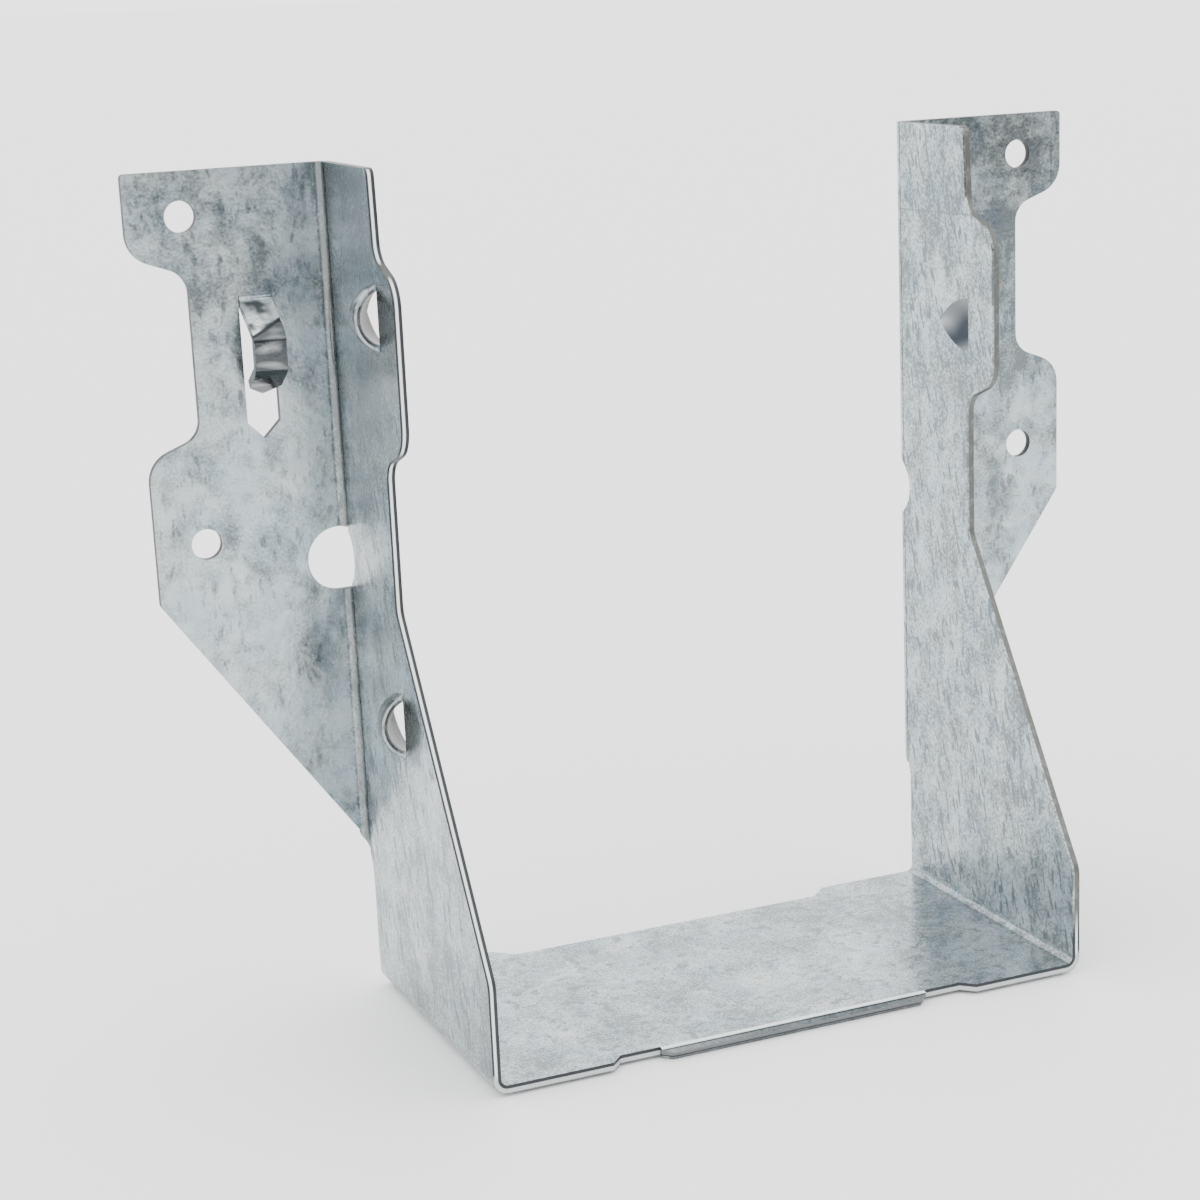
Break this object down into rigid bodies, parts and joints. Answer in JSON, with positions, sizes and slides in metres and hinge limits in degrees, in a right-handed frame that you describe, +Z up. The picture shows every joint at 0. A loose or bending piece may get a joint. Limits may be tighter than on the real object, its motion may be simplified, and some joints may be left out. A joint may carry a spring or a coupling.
{
  "type": "joist hanger",
  "caption": "Face-mount joist hanger folded from one galvanised steel sheet: a U-shaped stirrup with outward header flanges, nail holes, bent tack prongs and slant-nail domes.",
  "frame": {"origin": "Centre of the seat's bearing face, which the joist's underside rests on.", "axes": "X runs across the joist, from one side panel to the other. +Y points into the header, and the backs of both flanges lie in the plane Y = +0.027 m. +Z is up."},
  "size_m": [0.1498, 0.0508, 0.1222],
  "materials": {
    "sheet": "hot-dip galvanised sheet with fine spangle and bright cut edges"
  },
  "bodies": {
    "root": {"hanger": "sheet"}
  },
  "joints": []
}
